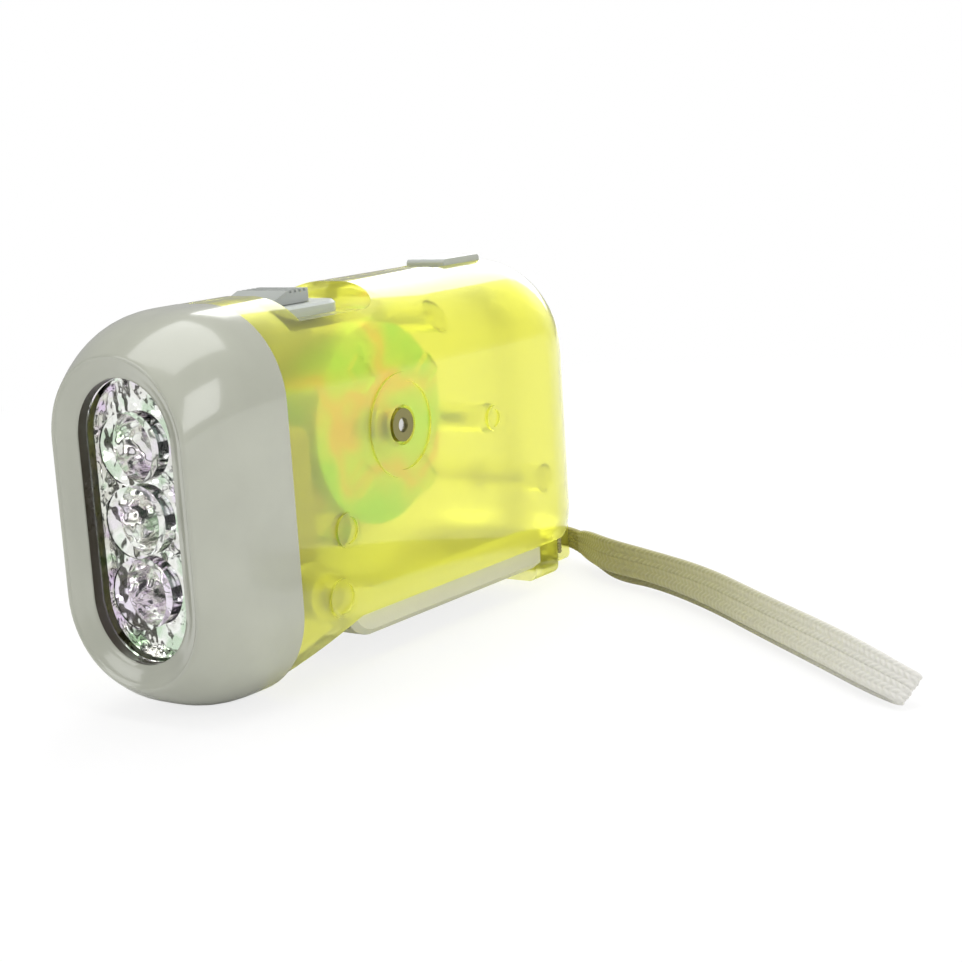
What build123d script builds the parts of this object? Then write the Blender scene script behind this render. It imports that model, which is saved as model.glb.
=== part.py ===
"""Hand crank flashlight: a squeeze-lever dynamo torch, built as separate pieces.

Millimetres. +Z is up and the torch stands on its head and rear foot at z = 0.
The beam points along -Y, the strap leaves the rear end, and X is the width.
Lengths along the torch are measured rearwards from the window's edge, and
at() turns them into the part's own Y, so that the origin is bottom centre.
"""
import os
from math import atan2, cos, degrees, hypot, pi, radians, sin

from build123d import *

os.makedirs("parts", exist_ok=True)

# ---------------------------------------------------------------- sizes
# Head
head_length = 15.6  # window edge to the joint with the body
head_half_width = 15.0
height = 54.0
head_corner = 13.0
head_wall = 1.8
head_swell = 14.0  # length over which the head widens from the rim
swell_power = 2.4
cavity_draft = 1.6
rim_proud = 1.4  # the rim stands this far in front of the window edge
rim_land = 0.8
rim_half_width = 12.1
rim_half_height = height / 2 - 4.4
window_half_width = 8.4
window_half_height = rim_half_height - 3.4
window_depth = 2.0  # front wall of the head, behind the window edge
lip_length = 4.0  # the shells' front lip inside the head

# Shafts, front to rear, as length along the torch and height
pivot_y = head_length + 9.2
pivot_z = 12.2
drive_y = pivot_y + 16.1  # the pinion, the first gear and the rotor turn here
drive_z = height / 2 + 6.8
second_angle = -56.0  # where the second gear's shaft lies, from +Y towards +Z
pin_radius = 1.0
running_gap = 0.05
clearance = 0.1

# Body shells
body_end = drive_y + 50.8
body_half_width = 14.2
body_edge = 12.4  # rounding between flank and top, rear and bottom
rear_top_radius = 15.8
rear_bottom_radius = 13.5
wall = 1.6
skirt_height = 8.5  # lower edge of the flanks
neck_rise = 3.2  # underside just behind the head
neck_end = pivot_y + 0.4  # where the floor behind the head stops

# Lever
lever_half_width = 10.4
lever_wall = 1.5
lever_bottom = 3.8
lever_top = 10.4
lever_start = pivot_y + 5.6
lever_end = lever_start + 48.9
lever_front_round = 5.5
lever_hub = 3.4
hub_inward = 2.0
pivot_pin_radius = 1.5
rim_depth = 4.4
spoke_angle = 38.0
spoke_width = 4.8
spring_radius = 2.6
spring_wire = 0.4
spring_pitch = 1.1
spring_turns = 3 + 5 / 6
spring_segments = 4

# Rear foot and strap lug
lever_gap_end = lever_end + 1.0
foot_start = lever_gap_end + 3.2
foot_end = foot_start + 6.8
foot_half_width = 6.5
lug_end = foot_end + 8.2
lug_half_width = 3.5
lug_base = 0.3
lug_top = 7.8
slot_wall = 1.5
slot_start = foot_end + 1.9
slot_length = 3.0

# Top recess and switch
recess_start = head_length + 9.3
recess_floor = height - 3.4
recess_round = 6.0
plate_start = recess_start + 0.5
plate_length = 13.2
recess_end = plate_start + plate_length + 6.1
plate_half_width = 7.0
plate_corner = 3.0
plate_thickness = 1.6
button_start = plate_start + 0.5
button_length = 8.4
button_half_width = 4.6
button_rise = 1.9
button_ramp = 3.4
groove_pitch = 1.0
groove_depth = 0.4
terminal_length = 2.2
switch_travel = 3.5
switch_width = 5.6
switch_length = 9.6
switch_depth = 4.6
stem_width = 2.4
stem_length = 2.6

# Lock slider
lock_length = 9.4
lock_start = lever_end - 11.7
lock_half_width = 3.6
lock_proud = 0.8
lock_sunk = 0.7
lock_travel = 3.0
lock_arm = 1.8
lock_arm_width = 5.0
lock_stem_start = lock_start + 3.0
lock_stem_length = 4.0
hook_reach = 4.0
catch_length = 2.9
arm_shoulder = height - 10.6

# Gears
sector_teeth = 50  # of a full circle
sector_cut = 6  # teeth that are really there
drive_teeth = 10
first_teeth = 36
second_pinion_teeth = 9
second_teeth = 45
rotor_teeth = 9
train_module = 0.7
pressure_angle = 25.0
addendum = 0.8
dedendum = 1.05
backlash = 0.12
gear_thickness = 2.4
pawl_recess = 8.0
pawl_thickness = 0.8
pawl_hub = 3.0
ratchet_teeth = 12
ratchet_depth = 0.9

# Dynamo, from the middle plate towards +X
flywheel_radius = height / 2 - 12.6  # passes under the recess
magnet_radius = flywheel_radius - 1.5
pole_radius = flywheel_radius - 4.5
coil_radius = pole_radius - 1.7
mid_plate_thickness = 1.6
pole_thickness = 0.8
finger_count = 6
finger_angle = 18.0
finger_gap = 0.4
coil_width = 4.2
bobbin_flange = 0.6
bobbin_tube = 2.7
sleeve_radius = 1.5
shaft_hole = sleeve_radius + 0.2
air_gap = 0.5
magnet_start = 3.2
flywheel_web = 1.2
flywheel_face = 9.8  # x of its outer face
flywheel_hub = 2.6
bush_radius = 2.4

# Shell posts and screws, as (length along the torch, height)
posts = [
    (pivot_y + 2.1, pivot_z + 9.2),
    (recess_end + 9.8, height - 6.6),
    (drive_y + 22.4, drive_z - 2.7),
]
rear_post = (body_end - 13.9, skirt_height + 10.5)
post_radius = 2.3
screw_radius = 0.9
screw_head_radius = 2.0
screw_head_depth = 1.6
screw_head_thickness = 1.3
screw_end = 9.5
pin_recess = 0.7
blind_depth = 0.4
rib_middle = 10.4
rib_length = 4.6
rib_width = 3.2
rib_height = 1.0
rib_turn = 38.0
ear_radius = 2.6
boss_radius = 3.2
boss_reach = 1.5
ring_radius = 7.6
ring_width = 1.2
ring_proud = 0.3
post_ring_radius = 2.5
rear_ring_radius = 1.9
pivot_ring_radius = 2.8
small_ring_width = 0.6

# Light
dome_radius = 4.8
dome_rise = 1.6
led_pitch = 9.75
lens_thickness = 1.0
lens_margin = 1.3
lens_front = 1.5  # the lens's raised middle, behind the window's edge
dome_front = 0.3  # where the domes' straight sides end
cup_depth = 6.0
cup_radius = 4.7
tray_depth = 0.8
peg_offset = 6.6
peg_radius = 1.2
reflector_depth = 7.4
led_radius = 2.5
led_flange = 2.9
led_flange_thickness = 1.0
led_dome_front = 5.4
board_gap = 0.5  # between the lamps' flanges and the board
board_thickness = 1.2
board_half_width = 8.6
board_half_height = window_half_height - 0.2

# Cells
holder_half_width = 11.5
holder_half_height = 9.6
cell_radius = 8.0
cell_thickness = 3.2
cell_count = 2
contact_thickness = 0.4
holder_wall = 1.3
holder_lip = 1.0

lead_radius = 0.4
lead_spread = 4.0

# Strap: a narrow eye round the lug's bar, then the doubled band
strap_eye_gap = 0.2
strap_thickness = 1.2
strap_narrow = 3.8
band_depth = 3.8
# near lower edge of the band as (x, length), its height and how far it leans
band_stations = [
    (9.0, 93.0, 6.9, 0.6),
    (18.0, 84.8, 7.5, 1.6),
    (26.8, 82.7, 6.8, 1.7),
    (40.5, 74.3, 7.0, 2.8),
    (54.8, 63.4, 6.4, 3.8),
    (69.5, 52.6, 6.3, 4.2),
    (78.5, 45.8, 5.9, 4.4),
    (84.2, 42.3, 4.8, 4.9),
]

# ---------------------------------------------------------------- derived
front = -(lug_end - rim_proud) / 2
mid_z = height / 2
body_inner = body_half_width - wall


def at(length):
    """Y of a place that lies this far behind the window's edge."""
    return front + length


def rearward(length):
    """A plane across the torch, facing rearwards: its axes are -X and Z."""
    return Plane(origin=(0, at(length), 0), x_dir=(-1, 0, 0), z_dir=(0, 1, 0))


def sideways(x):
    """A plane along the torch, facing +X: its axes are Y and Z."""
    return Plane(origin=(x, 0, 0), x_dir=(0, 1, 0), z_dir=(1, 0, 0))


def shaft_plane(x, y, z):
    """The same plane with its centre on a shaft."""
    return Plane(origin=(x, at(y), z), x_dir=(0, 1, 0), z_dir=(1, 0, 0))


def save(part, name):
    """Label a finished piece and write it as one STEP file."""
    part.label = name
    export_step(part, f"parts/{name}.step")


def disc(x, thickness, y, z, radius, hole=0.0):
    """A washer on an axis along X, from x towards +X."""
    with BuildPart(mode=Mode.PRIVATE) as piece:
        with BuildSketch(shaft_plane(x, y, z)):
            Circle(radius)
            if hole:
                Circle(hole, mode=Mode.SUBTRACT)
        extrude(amount=thickness)
    return piece.part


# ---------------------------------------------------------------- gears
def tooth_outline(module, teeth):
    """One stub involute tooth that points along the sketch's x axis."""
    pitch = module * teeth / 2
    base = pitch * cos(radians(pressure_angle))
    root = pitch - dedendum * module
    tip = pitch + addendum * module
    half = pi / (2 * teeth) - backlash / 2 / pitch
    start = max(base, root)

    def involute(radius):
        roll = (max(radius / base, 1.0) ** 2 - 1) ** 0.5
        return roll - atan2(roll, 1)

    turn = half + involute(pitch)
    radii = [start + (tip - start) * k / 3 for k in range(4)]
    flank = [(r * cos(turn - involute(r)), r * sin(turn - involute(r))) for r in radii]
    foot = 0.9 * root
    edge = atan2(flank[0][1], flank[0][0])
    upper = [(foot * cos(edge), foot * sin(edge))] + flank
    lower = [(x, -y) for x, y in reversed(upper)]
    return upper + lower


def tooth(module, teeth):
    """The tooth as a sketch of its own."""
    with BuildSketch(mode=Mode.PRIVATE) as one:
        Polygon(*tooth_outline(module, teeth), align=None)
    return one.sketch


def gear(x, thickness, y, z, module, teeth, phase, hole):
    """A spur gear on an axis along X, with one tooth at the angle phase."""
    one = tooth(module, teeth)
    root = module * teeth / 2 - dedendum * module
    with BuildPart(mode=Mode.PRIVATE) as piece:
        with BuildSketch(shaft_plane(x, y, z)):
            Circle(root)
            with PolarLocations(0, teeth, start_angle=phase):
                add(one)
            if hole:
                Circle(hole, mode=Mode.SUBTRACT)
        extrude(amount=thickness)
    return piece.part


def meshing_phase(direction, phase, teeth, other_teeth):
    """Phase of a gear in that direction whose gap meets the first gear's tooth."""
    offset = (phase - direction) * teeth / other_teeth
    return direction + 180 + 180 / other_teeth - offset


def direction_of(y0, z0, y1, z1):
    """Angle of the line between two shafts, from +Y towards +Z."""
    return degrees(atan2(z1 - z0, y1 - y0))


# Lever sector and drive pinion
drive_distance = hypot(drive_y - pivot_y, drive_z - pivot_z)
drive_module = 2 * drive_distance / (sector_teeth + drive_teeth)
drive_angle = direction_of(pivot_y, pivot_z, drive_y, drive_z)
sector_phase = drive_angle
drive_phase = meshing_phase(drive_angle, sector_phase, sector_teeth, drive_teeth)

# The train goes out to the second gear's shaft and back to the drive shaft
train_distance = train_module * (first_teeth + second_pinion_teeth) / 2
rotor_module = 2 * train_distance / (second_teeth + rotor_teeth)
second_y = drive_y + train_distance * cos(radians(second_angle))
second_z = drive_z + train_distance * sin(radians(second_angle))
second_phase = meshing_phase(second_angle, second_angle, first_teeth, second_pinion_teeth)
rotor_angle = second_angle + 180
rotor_phase = meshing_phase(rotor_angle, rotor_angle, second_teeth, rotor_teeth)

# Layers along X, from the left shell's wall to the middle plate
plate_left = -mid_plate_thickness / 2
sector_x = -lever_half_width
sector_thickness = 2.0
drive_x = sector_x - 0.4
drive_thickness = sector_thickness + 0.8
first_x = drive_x + drive_thickness + 0.6
second_x = first_x + gear_thickness + 0.6
rotor_pinion_x = second_x - 0.4


# ---------------------------------------------------------------- shells
def body_form(inset):
    """The body's rounded block, inset all round by a wall."""
    low, high = inset, height - inset
    end = at(body_end - inset)
    start = at(0)
    with BuildPart(mode=Mode.PRIVATE) as form:
        with BuildSketch(sideways(-(body_half_width - inset))):
            with BuildLine():
                Polyline(
                    (end - rear_bottom_radius + inset, low),
                    (start, low),
                    (start, high),
                    (end - rear_top_radius + inset, high),
                )
                RadiusArc(
                    (end - rear_top_radius + inset, high),
                    (end, high - rear_top_radius + inset),
                    rear_top_radius - inset,
                )
                Line(
                    (end, high - rear_top_radius + inset),
                    (end, low + rear_bottom_radius - inset),
                )
                RadiusArc(
                    (end, low + rear_bottom_radius - inset),
                    (end - rear_bottom_radius + inset, low),
                    rear_bottom_radius - inset,
                )
            make_face()
        extrude(amount=2 * (body_half_width - inset))
        rims = form.edges().filter_by(
            lambda e: abs(abs(e.center().X) - (body_half_width - inset)) < 0.01
            and e.center().Y > start + 0.01
        )
        fillet(rims, body_edge - inset)
    return form.part


neck_slope = (skirt_height - neck_rise) / (lever_start - 0.8 - head_length)


def side_cut(points):
    """A prism across the whole width with this outline of (length, height)."""
    width = 2 * head_half_width + 4
    with BuildPart(mode=Mode.PRIVATE) as cut:
        with BuildSketch(sideways(-width / 2)):
            Polygon(*[(at(y), z) for y, z in points], align=None)
        extrude(amount=width)
    return cut.part


neck_front = neck_rise
neck_back = neck_rise + neck_slope * (lever_start - 0.8 - head_length)
lip_start = head_length - lip_length
lip_half_width = head_half_width - head_wall - clearance
lip_half_height = height / 2 - head_wall - clearance
lip_corner = head_corner - head_wall - clearance

with BuildPart() as body_outside:
    add(body_form(0))
    add(
        side_cut(
            [
                (head_length, neck_front),
                (lever_start - 0.8, neck_back),
                (foot_end + 10, skirt_height),
                (foot_end + 10, height + 5),
                (head_length, height + 5),
            ]
        ),
        mode=Mode.INTERSECT,
    )
    with BuildSketch(rearward(lip_start)):
        with Locations((0, mid_z)):
            RectangleRounded(2 * lip_half_width, 2 * lip_half_height, lip_corner)
    extrude(amount=lip_length + wall)
    foot_width = 2 * foot_half_width
    with BuildSketch(rearward(foot_start)) as foot_sketch:
        with Locations((0, (skirt_height + wall) / 2)):
            Rectangle(foot_width, skirt_height + wall)
        fillet(foot_sketch.vertices().group_by(Axis.Z)[0], 1.5)
    extrude(amount=foot_end - foot_start)
    with BuildSketch(rearward(foot_end - 1)):
        with Locations((0, (lug_base + lug_top) / 2)):
            RectangleRounded(2 * lug_half_width, lug_top - lug_base, 1.2)
    extrude(amount=lug_end - foot_end + 1)

inner_floor = wall - 0.1
neck_inside = neck_front + inner_floor + neck_slope * wall
with BuildPart() as body_inside:
    add(body_form(wall))
    with BuildSketch(rearward(lip_start - 1)):
        with Locations((0, mid_z)):
            RectangleRounded(
                2 * (lip_half_width - wall + 0.1),
                2 * (lip_half_height - wall + 0.1),
                lip_corner - wall + 0.1,
            )
    extrude(amount=lip_length + wall + 1)
    add(
        side_cut(
            [
                (lip_start - 1, neck_inside),
                (head_length + wall, neck_inside),
                (neck_end, neck_inside + neck_slope * (neck_end - head_length - wall)),
                (neck_end, -5),
                (lever_gap_end, -5),
                (lever_gap_end, skirt_height + wall),
                (foot_end + 10, skirt_height + wall),
                (foot_end + 10, height + 5),
                (lip_start - 1, height + 5),
            ]
        ),
        mode=Mode.INTERSECT,
    )

# The recess runs right across the top, with a scooped rear wall
with BuildPart() as recess_cut:
    with BuildSketch(sideways(-20)):
        with BuildLine():
            Polyline(
                (at(recess_end), recess_floor + recess_round),
                (at(recess_start), height + 2),
                (at(recess_start), recess_floor),
                (at(recess_end - recess_round), recess_floor),
            )
            RadiusArc(
                (at(recess_end - recess_round), recess_floor),
                (at(recess_end), recess_floor + recess_round),
                -recess_round,
            )
        make_face()
    extrude(amount=40)

# The wall under the recess follows its floor
with BuildPart() as recess_lining:
    add(body_form(wall / 2))
    add(
        side_cut(
            [
                (recess_start - wall, height + 1),
                (recess_start - wall, recess_floor - wall),
                (recess_end - recess_round + 2.5, recess_floor - wall),
                (recess_end + wall, height - 2 * wall),
                (recess_end + wall, height + 1),
            ]
        ),
        mode=Mode.INTERSECT,
    )

lock_floor = height - lock_sunk
hook_room = skirt_height + 3.0
lock_slot_start = lock_stem_start - lock_travel - 0.3
lock_slot_length = lock_stem_length + lock_travel + 0.6
stem_slot_start = plate_start + 2.2
stem_slot_length = stem_length + switch_travel + 0.6
hook_bottom = skirt_height - 2.6
hook_half_width = lock_arm_width / 2 + 0.7
pocket_end = foot_end - 0.9


def box(x_half, y_start, y_end, z_low, z_high):
    """A block centred on the seam, between two places along the torch."""
    with BuildPart(mode=Mode.PRIVATE) as block:
        with BuildSketch(rearward(y_start)):
            with Locations((0, (z_low + z_high) / 2)):
                Rectangle(2 * x_half, z_high - z_low)
        extrude(amount=y_end - y_start)
    return block.part


with BuildPart() as seam_cuts:
    add(recess_cut.part)
    # slots for the switch's stem and for the lock slider, and its sunk track
    stem_slot_end = stem_slot_start + stem_slot_length
    stem_low, stem_high = recess_floor - 6, recess_floor + 2
    add(box(stem_width / 2 + 0.3, stem_slot_start, stem_slot_end, stem_low, stem_high))
    lock_slot_end = lock_slot_start + lock_slot_length
    add(box(lock_arm_width / 2 + 0.2, lock_slot_start, lock_slot_end, height - 6, height + 4))
    track_start = lock_start - lock_travel - 0.2
    track_end = lock_start + lock_length + 0.2
    add(box(lock_half_width + 0.2, track_start, track_end, lock_floor, height + 3))
    # pocket for the hook
    add(box(hook_half_width, lever_gap_end - 1, pocket_end, hook_bottom - 0.5, hook_room))
    # slot that the strap goes through
    with BuildSketch(sideways(-10)):
        with Locations((at(slot_start + slot_length / 2), (lug_base + lug_top) / 2)):
            RectangleRounded(slot_length, lug_top - lug_base - 2 * slot_wall, 0.8)
    extrude(amount=20)

with BuildPart() as body:
    add(body_outside.part)
    add(body_inside.part, mode=Mode.SUBTRACT)
    add(recess_lining.part)
    add(seam_cuts.part, mode=Mode.SUBTRACT)


def flank_x(z):
    """Half width of the body at this height."""
    into_corner = max(0.0, abs(z - mid_z) - (mid_z - body_edge))
    return body_half_width - body_edge + (body_edge**2 - into_corner**2) ** 0.5


def screw_seat(z):
    """How far from the seam the head of a screw at this height sits."""
    return flank_x(z + screw_head_radius) - screw_head_depth


def shell_fittings(side):
    """Posts, shaft bosses, ribs and raised rings of one half."""
    root = side * body_inner
    bosses = [(at(drive_y), drive_z), (at(pivot_y), pivot_z)]
    if side < 0:
        bosses.append((at(second_y), second_z))
    with BuildPart(mode=Mode.PRIVATE) as fittings:
        for places, start in ((posts, mid_plate_thickness / 2), ([rear_post], 0)):
            with BuildSketch(sideways(side * start)):
                with Locations(*[(at(y), z) for y, z in places]):
                    Circle(post_radius)
            extrude(amount=side * (body_inner + wall / 2 - start))
        with BuildSketch(sideways(root - side * boss_reach)):
            with Locations(*bosses):
                Circle(boss_radius)
        extrude(amount=side * (boss_reach + wall / 2))
        # short ribs in an X round the drive shaft's boss
        with BuildSketch(shaft_plane(root - side * rib_height, drive_y, drive_z)):
            with PolarLocations(rib_middle, 4, start_angle=rib_turn):
                Rectangle(rib_length, rib_width)
        extrude(amount=side * (rib_height + wall / 2))
        add(body_form(wall / 2), mode=Mode.INTERSECT)
        rings = [(drive_y, drive_z, ring_radius, ring_width)]
        if side > 0:
            rings += [
                (*posts[0], post_ring_radius, small_ring_width),
                (*posts[2], rear_ring_radius, small_ring_width),
                (pivot_y, pivot_z, pivot_ring_radius, small_ring_width),
            ]
        for y, z, radius, width in rings:
            with BuildSketch(shaft_plane(root, y, z)):
                Circle(radius)
                Circle(radius - width, mode=Mode.SUBTRACT)
            extrude(amount=side * (wall + ring_proud))
    return fittings.part


def shell_holes(side):
    """Bores for the pins, the bush and the screws of one half."""
    face = side * (body_half_width - pin_recess)
    pocket = side * (body_inner + blind_depth)
    pivot_bore = pivot_pin_radius + running_gap
    with BuildPart(mode=Mode.PRIVATE) as holes:
        add(disc(0, side * 20, drive_y, drive_z, bush_radius + running_gap))
        add(disc(face, side * 2, drive_y, drive_z, boss_radius - 0.3))
        add(disc(0, pocket, pivot_y, pivot_z, pivot_bore))
        for y, z in posts + [rear_post]:
            if side > 0:
                add(disc(0, screw_end, y, z, screw_radius))
            else:
                add(disc(0, -20, y, z, screw_radius + clearance))
                add(disc(-screw_seat(z), -8, y, z, screw_head_radius + clearance))
        if side < 0:
            add(disc(0, pocket, second_y, second_z, pin_radius + running_gap))
    return holes.part


def half_shell(side):
    """One half of the body: side is 1 for +X and -1 for -X."""
    with BuildPart(mode=Mode.PRIVATE) as shell:
        add(body.part)
        split(bisect_by=Plane.YZ, keep=Keep.TOP if side > 0 else Keep.BOTTOM)
        add(shell_fittings(side))
        add(shell_holes(side), mode=Mode.SUBTRACT)
    return shell.part


save(half_shell(1), "shell_right")
save(half_shell(-1), "shell_left")

# ---------------------------------------------------------------- head
def rounded(half_width, half_height, corner):
    """A rounded rectangle in a sketch across the torch, level with the window."""
    with Locations((0, mid_z)):
        RectangleRounded(2 * half_width, 2 * half_height, corner)


def stadium(half_width, half_height):
    """The same with round ends."""
    rounded(half_width, half_height, half_width - 0.01)


head_straight = (head_length + rim_proud) / head_swell
cavity = (head_half_width - head_wall, mid_z - head_wall, head_corner - head_wall)
with BuildPart() as head_bezel:
    for k in (0, 0.06, 0.15, 0.3, 0.5, 0.75, 1, head_straight):
        swell = 1 - (1 - min(k, 1)) ** swell_power
        with BuildSketch(rearward(k * head_swell - rim_proud)):
            rounded(
                rim_half_width + swell * (head_half_width - rim_half_width),
                rim_half_height + swell * (mid_z - rim_half_height),
                rim_half_width - 0.1 + swell * (head_corner - rim_half_width + 0.1),
            )
    loft(ruled=True)
    # dished front and the window
    with BuildSketch(rearward(-rim_proud)):
        stadium(rim_half_width - rim_land, rim_half_height - rim_land)
    with BuildSketch(rearward(0)):
        stadium(window_half_width, window_half_height)
    loft(ruled=True, mode=Mode.SUBTRACT)
    with BuildSketch(rearward(-0.1)):
        stadium(window_half_width, window_half_height)
    extrude(amount=window_depth + 1, mode=Mode.SUBTRACT)
    # hollow, which takes the shells' lip at its rear
    with BuildSketch(rearward(window_depth)):
        rounded(*[size - cavity_draft for size in cavity])
    with BuildSketch(rearward(lip_start - 1)):
        rounded(*cavity)
    loft(ruled=True, mode=Mode.SUBTRACT)
    with BuildSketch(rearward(lip_start - 1)):
        rounded(*cavity)
    extrude(amount=lip_length + 2, mode=Mode.SUBTRACT)
save(head_bezel.part, "head_bezel")

lens_half_width = window_half_width + lens_margin
lens_half_height = window_half_height + lens_margin
led_heights = [mid_z + led_pitch, mid_z, mid_z - led_pitch]
dome_sphere = (dome_radius**2 + dome_rise**2) / (2 * dome_rise)

with BuildPart() as front_lens:
    with BuildSketch(rearward(window_depth)):
        stadium(lens_half_width, lens_half_height)
    extrude(amount=lens_thickness)
    with BuildSketch(rearward(lens_front)):
        stadium(window_half_width - clearance, window_half_height - clearance)
    extrude(amount=window_depth + lens_thickness / 2 - lens_front)
    for z in led_heights:
        face = at(dome_front)
        base = at(lens_front) + lens_thickness / 2
        with BuildSketch(sideways(0)):
            with BuildLine():
                Polyline(
                    (face, z + dome_radius),
                    (base, z + dome_radius),
                    (base, z),
                    (face - dome_rise, z),
                )
                RadiusArc((face - dome_rise, z), (face, z + dome_radius), dome_sphere)
            make_face()
        revolve(axis=Axis((0, 0, z), (0, 1, 0)))
save(front_lens.part, "front_lens")

reflector_start = window_depth + lens_thickness + clearance
reflector_end = reflector_start + reflector_depth
board_start = reflector_end + clearance + led_flange_thickness + board_gap
cup_taper = degrees(atan2(cup_radius - led_radius - clearance, cup_depth))
with BuildPart() as reflector:
    with BuildSketch(rearward(reflector_start)):
        stadium(lens_half_width - 0.2, lens_half_height - 0.2)
    extrude(amount=reflector_depth)
    with BuildSketch(rearward(reflector_start)):
        stadium(window_half_width - 0.3, window_half_height - 0.3)
    extrude(amount=tray_depth, mode=Mode.SUBTRACT)
    with BuildSketch(rearward(reflector_start + tray_depth)):
        with Locations(*[(0, z) for z in led_heights]):
            Circle(cup_radius)
    extrude(amount=cup_depth, taper=cup_taper, mode=Mode.SUBTRACT)
    with BuildSketch(rearward(reflector_start)):
        with Locations(*[(0, z) for z in led_heights]):
            Circle(led_radius + clearance)
    extrude(amount=reflector_depth, mode=Mode.SUBTRACT)
    # pegs that hold the board off the reflector's back
    with BuildSketch(rearward(reflector_end)):
        with Locations((0, mid_z)):
            with GridLocations(2 * peg_offset, led_pitch, 2, 2):
                Circle(peg_radius)
    extrude(amount=board_start - reflector_end)
save(reflector.part, "reflector")

led_flange_start = reflector_end + clearance
for name, z in zip(("led_top", "led_middle", "led_bottom"), led_heights):
    with BuildPart() as led:
        dome_base = led_dome_front + led_radius
        with Locations((0, at(dome_base), z)):
            Sphere(led_radius)
        with BuildSketch(rearward(dome_base)):
            with Locations((0, z)):
                Circle(led_radius)
        extrude(amount=led_flange_start - dome_base)
        with BuildSketch(rearward(led_flange_start)):
            with Locations((0, z)):
                Circle(led_flange)
        extrude(amount=led_flange_thickness)
        with BuildSketch(rearward(led_flange_start + led_flange_thickness)):
            with Locations((0, z)):
                with GridLocations(2.54, 1, 2, 1):
                    Rectangle(0.5, 0.5)
        extrude(amount=board_start - led_flange_start - led_flange_thickness)
    save(led.part, name)

with BuildPart() as led_board:
    with BuildSketch(rearward(board_start)):
        stadium(board_half_width, board_half_height)
    extrude(amount=board_thickness)
save(led_board.part, "led_board")

# ---------------------------------------------------------------- cells
holder_start = board_start + board_thickness + clearance
pocket_start = holder_start + holder_wall
cells_start = pocket_start + contact_thickness
cells_end = cells_start + cell_count * cell_thickness
holder_end = cells_end + contact_thickness + holder_lip
with BuildPart() as cell_holder:
    with BuildSketch(rearward(holder_start)):
        with Locations((0, mid_z)):
            RectangleRounded(2 * holder_half_width, 2 * holder_half_height, 2)
    extrude(amount=holder_end - holder_start)
    with BuildSketch(rearward(pocket_start)):
        with Locations((0, mid_z)):
            Circle(cell_radius + clearance)
    extrude(amount=holder_end - pocket_start, mode=Mode.SUBTRACT)
save(cell_holder.part, "cell_holder")


def across(start, thickness, radius):
    """A disc on the torch's own axis."""
    with BuildPart(mode=Mode.PRIVATE) as piece:
        with BuildSketch(rearward(start)):
            with Locations((0, mid_z)):
                Circle(radius)
        extrude(amount=thickness)
    return piece.part


save(across(pocket_start, contact_thickness, cell_radius - 1.5), "contact_front")
save(across(cells_start, cell_thickness, cell_radius), "cell_front")
save(across(cells_start + cell_thickness, cell_thickness, cell_radius), "cell_rear")
save(across(cells_end, contact_thickness, cell_radius - 0.8), "contact_rear")

# ---------------------------------------------------------------- switch
plate_top = recess_floor + plate_thickness
stem_start = stem_slot_start + 0.3
with BuildPart() as switch_plate:
    with BuildSketch(Plane.XY.offset(recess_floor)):
        with Locations((0, at(plate_start + plate_length / 2))):
            RectangleRounded(2 * plate_half_width, plate_length, plate_corner)
    extrude(amount=plate_thickness)
    chamfer(switch_plate.edges().group_by(Axis.Z)[-1], 0.4)
    add(
        box(
            stem_width / 2 + 0.3,
            stem_slot_start,
            stem_slot_end,
            recess_floor - 1,
            plate_top + 1,
        ),
        mode=Mode.SUBTRACT,
    )
save(switch_plate.part, "switch_plate")

button_base = plate_top + clearance
button_top = button_base + button_rise
button_end = button_start + button_length
switch_top = recess_floor - wall
with BuildPart() as switch_button:
    add(
        side_cut(
            [
                (button_start, button_base),
                (button_end, button_base),
                (button_end, button_top - 0.2),
                (button_end - 0.3, button_top),
                (button_start + button_ramp, button_top),
                (button_start, button_base + 0.6),
            ]
        )
    )
    button_middle = (button_start + button_end) / 2
    with BuildSketch(Plane.XY.offset(button_base - 1)):
        with Locations((0, at(button_middle))):
            RectangleRounded(2 * button_half_width, button_length, 0.8)
    extrude(amount=button_rise + 2, mode=Mode.INTERSECT)
    # grip grooves across the top
    grooves = int((button_length - button_ramp - 0.8) / groove_pitch)
    with BuildSketch(Plane.XY.offset(button_top - groove_depth)):
        for k in range(grooves):
            with Locations((0, at(button_start + button_ramp + 0.7 + k * groove_pitch))):
                Rectangle(2 * button_half_width + 2, groove_pitch / 2)
    extrude(amount=groove_depth + 1, mode=Mode.SUBTRACT)
    stem_end = stem_start + stem_length
    add(box(stem_width / 2, stem_start, stem_end, switch_top - 0.8, button_base + 0.3))
save(switch_button.part, "switch_button")

switch_start = stem_slot_start + stem_slot_length / 2 - switch_length / 2
with BuildPart() as slide_switch:
    add(
        box(
            switch_width / 2,
            switch_start,
            switch_start + switch_length,
            switch_top - switch_depth,
            switch_top,
        )
    )
    add(
        box(stem_width / 2 + 0.3, stem_slot_start, stem_slot_end, switch_top - 1, switch_top + 1),
        mode=Mode.SUBTRACT,
    )
    with BuildSketch(Plane.XY.offset(switch_top - switch_depth - terminal_length)):
        with Locations((0, at(switch_start + switch_length / 2))):
            with GridLocations(1, 2.5, 1, 3):
                Rectangle(1.0, 0.5)
    extrude(amount=terminal_length)
save(slide_switch.part, "slide_switch")

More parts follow.
